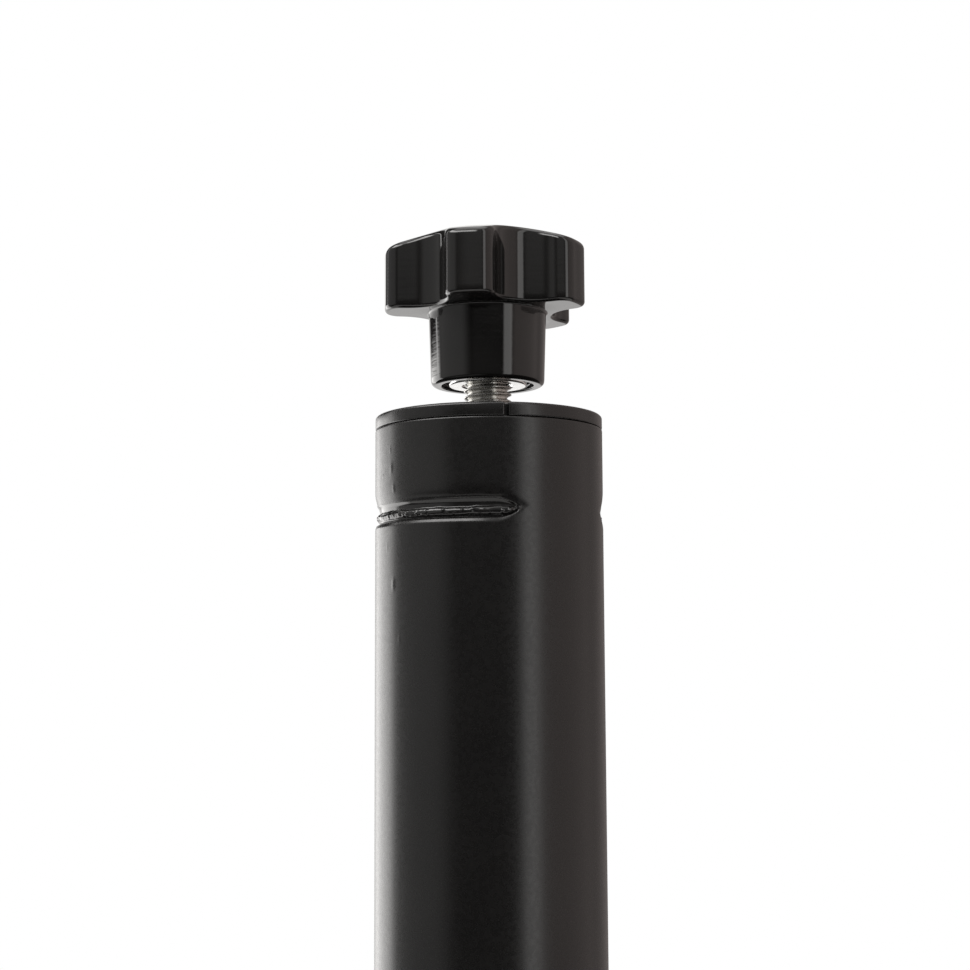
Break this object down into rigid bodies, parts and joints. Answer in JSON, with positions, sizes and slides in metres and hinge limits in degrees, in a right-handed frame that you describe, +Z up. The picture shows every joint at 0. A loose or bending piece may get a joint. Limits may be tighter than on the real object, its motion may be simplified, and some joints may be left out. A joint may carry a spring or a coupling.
{
  "type": "door security bar",
  "caption": "Telescopic black steel door brace with a star knob that clamps a keeper plate at its upper end and a hinged rubber-soled foot.",
  "frame": {"origin": "middle of the rubber sole's underside, on the floor", "axes": "+Z up along the bar; -Y is the bar's front; +X is the side with the length clamp, and the foot's pivot runs along X"},
  "size_m": [0.1268, 0.12, 0.7328],
  "materials": {
    "black_paint": "satin black powder coat",
    "weld_paint": "glossy black paint over a weld bead",
    "inner_paint": "satin black powder coat, rubbed by the guide bush",
    "bracket_paint": "satin black powder coat",
    "bare_steel": "mill finish",
    "zinc_steel": "bright zinc plate",
    "insert_steel": "turned, bright zinc plate",
    "brass_pad": "turned brass",
    "knob_plastic": "polished moulded black",
    "black_nylon": "moulded black nylon",
    "white_nylon": "natural nylon",
    "sole_rubber": "moulded black rubber"
  },
  "bodies": {
    "foot": {"foot_sole": "sole_rubber", "foot_bracket": "bracket_paint", "sole_screws": "zinc_steel", "pivot_bolt": "zinc_steel", "pivot_nut": "zinc_steel", "pivot_washers": "white_nylon"},
    "inner": {"inner_tube": "inner_paint", "slide_ring": "black_nylon", "tube_plug": "inner_paint", "foot_tongue": "inner_paint", "pivot_bush": "black_nylon"},
    "outer": {"outer_tube": "black_paint", "end_ring": "black_paint", "end_plate": "black_paint", "nut_plate": "bare_steel", "weld_nut": "zinc_steel", "plug_welds": "weld_paint", "guide_bush": "black_nylon", "clamp_boss": "black_paint"},
    "knob_travel": {"knob_stud": "zinc_steel"},
    "knob": {"knob_body": "knob_plastic", "knob_insert": "insert_steel"},
    "clamp_travel": {"clamp_stud": "zinc_steel", "clamp_pad": "brass_pad"},
    "clamp_knob": {"clamp_knob_body": "knob_plastic", "clamp_knob_insert": "insert_steel"}
  },
  "joints": [
    {"name": "foot_tilt", "type": "hinge", "parent": "foot", "child": "inner", "pos_m": [0, 0, 0.044], "axis": [1, 0, 0], "range_deg": [-50, 50]},
    {"name": "extension", "type": "slide", "parent": "inner", "child": "outer", "axis": [0, 0, 1], "range_m": [0, 0.4]},
    {"name": "knob_slide", "type": "slide", "parent": "outer", "child": "knob_travel", "axis": [0, 0, 1], "range_m": [-0.007, 0.014]},
    {"name": "knob_turn", "type": "hinge", "parent": "knob_travel", "child": "knob", "pos_m": [-0.0002, 0, 0.6935], "axis": [0, 0, 1], "range_deg": [-1455, 2900]},
    {"name": "clamp_slide", "type": "slide", "parent": "outer", "child": "clamp_travel", "axis": [1, 0, 0], "range_m": [0, 0.007]},
    {"name": "clamp_turn", "type": "hinge", "parent": "clamp_travel", "child": "clamp_knob", "pos_m": [0.0425, 0, 0.126], "axis": [1, 0, 0], "range_deg": [-15, 1455]}
  ],
  "couplings": [
    {"joint": "knob_turn", "follows": "knob_slide", "rad_per_m": 3590.4},
    {"joint": "clamp_turn", "follows": "clamp_slide", "rad_per_m": 3590.4}
  ]
}
